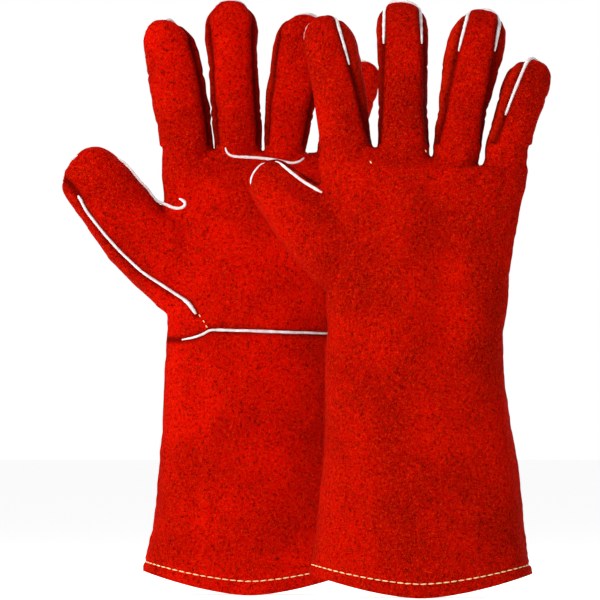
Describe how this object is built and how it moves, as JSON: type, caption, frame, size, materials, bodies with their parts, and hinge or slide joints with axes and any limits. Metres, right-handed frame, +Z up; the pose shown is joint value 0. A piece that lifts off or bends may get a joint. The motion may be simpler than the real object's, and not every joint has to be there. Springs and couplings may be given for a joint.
{
  "type": "pair of welding gloves",
  "caption": "Pair of lined red split-leather welding gauntlets standing on their cuffs, with white welts in the seams and fingers and thumbs that bend.",
  "frame": {"origin": "middle of the pair's outline, on the surface that the hems stand on", "axes": "+Z up along the fingers, -Y towards the viewer who sees the right glove's back, +X across towards the right glove's little finger"},
  "size_m": [0.297, 0.2294, 0.359],
  "materials": {
    "leather": "napped split cowhide, matt",
    "leather_side": "napped split cowhide side strips, matt",
    "welt": "undyed leather welt, matt",
    "lining": "brushed cotton fleece"
  },
  "bodies": {
    "hands": {"right_back_panel": "leather", "right_cuff_panel": "leather", "right_palm_panel": "leather", "right_hand_lining": "lining", "left_back_panel": "leather", "left_cuff_panel": "leather", "left_palm_panel": "leather", "left_hand_lining": "lining"},
    "right_index": {"right_index_back": "leather", "right_index_front": "leather", "right_index_outer_strip": "leather_side", "right_index_lining": "lining", "right_index_welt": "welt"},
    "right_middle": {"right_middle_back": "leather", "right_middle_front": "leather", "right_middle_inner_strip": "leather_side", "right_middle_outer_strip": "leather_side", "right_middle_lining": "lining", "right_middle_welt": "welt"},
    "right_ring": {"right_ring_back": "leather", "right_ring_front": "leather", "right_ring_inner_strip": "leather_side", "right_ring_outer_strip": "leather_side", "right_ring_lining": "lining", "right_ring_welt": "welt"},
    "right_little": {"right_little_back": "leather", "right_little_front": "leather", "right_little_inner_strip": "leather_side", "right_little_lining": "lining", "right_little_welt": "welt"},
    "right_thumb": {"right_thumb_back": "leather", "right_thumb_front": "leather", "right_thumb_lining": "lining", "right_thumb_welt": "welt"},
    "left_index": {"left_index_back": "leather", "left_index_front": "leather", "left_index_outer_strip": "leather_side", "left_index_lining": "lining", "left_index_welt": "welt"},
    "left_middle": {"left_middle_back": "leather", "left_middle_front": "leather", "left_middle_inner_strip": "leather_side", "left_middle_outer_strip": "leather_side", "left_middle_lining": "lining", "left_middle_welt": "welt"},
    "left_ring": {"left_ring_back": "leather", "left_ring_front": "leather", "left_ring_inner_strip": "leather_side", "left_ring_outer_strip": "leather_side", "left_ring_lining": "lining", "left_ring_welt": "welt"},
    "left_little": {"left_little_back": "leather", "left_little_front": "leather", "left_little_inner_strip": "leather_side", "left_little_lining": "lining", "left_little_welt": "welt"},
    "left_thumb": {"left_thumb_back": "leather", "left_thumb_front": "leather", "left_thumb_lining": "lining", "left_thumb_welt": "welt"}
  },
  "joints": [
    {"name": "right_index_curl", "type": "hinge", "parent": "hands", "child": "right_index", "pos_m": [0.0253, -0.0575, 0.256], "axis": [-1, 0, 0], "range_deg": [0, 30]},
    {"name": "right_middle_curl", "type": "hinge", "parent": "hands", "child": "right_middle", "pos_m": [0.058, -0.057, 0.256], "axis": [-1, 0, 0], "range_deg": [0, 30]},
    {"name": "right_ring_curl", "type": "hinge", "parent": "hands", "child": "right_ring", "pos_m": [0.0888, -0.0575, 0.256], "axis": [-1, 0, 0], "range_deg": [0, 30]},
    {"name": "right_little_curl", "type": "hinge", "parent": "hands", "child": "right_little", "pos_m": [0.1179, -0.059, 0.256], "axis": [-1, 0, 0], "range_deg": [0, 30]},
    {"name": "right_thumb_swing", "type": "hinge", "parent": "hands", "child": "right_thumb", "pos_m": [0.00893, -0.0575, 0.211], "axis": [0, 0, -1], "range_deg": [0, 25]},
    {"name": "left_index_curl", "type": "hinge", "parent": "hands", "child": "left_index", "pos_m": [-0.0711, 0.0575, 0.256], "axis": [1, 0, 0], "range_deg": [0, 30]},
    {"name": "left_middle_curl", "type": "hinge", "parent": "hands", "child": "left_middle", "pos_m": [-0.0399, 0.057, 0.256], "axis": [1, 0, 0], "range_deg": [0, 30]},
    {"name": "left_ring_curl", "type": "hinge", "parent": "hands", "child": "left_ring", "pos_m": [-0.0134, 0.0575, 0.256], "axis": [1, 0, 0], "range_deg": [0, 30]},
    {"name": "left_little_curl", "type": "hinge", "parent": "hands", "child": "left_little", "pos_m": [0.0178, 0.059, 0.256], "axis": [1, 0, 0], "range_deg": [0, 30]},
    {"name": "left_thumb_swing", "type": "hinge", "parent": "hands", "child": "left_thumb", "pos_m": [-0.08678, 0.0575, 0.203], "axis": [0, 0, 1], "range_deg": [0, 25]}
  ]
}
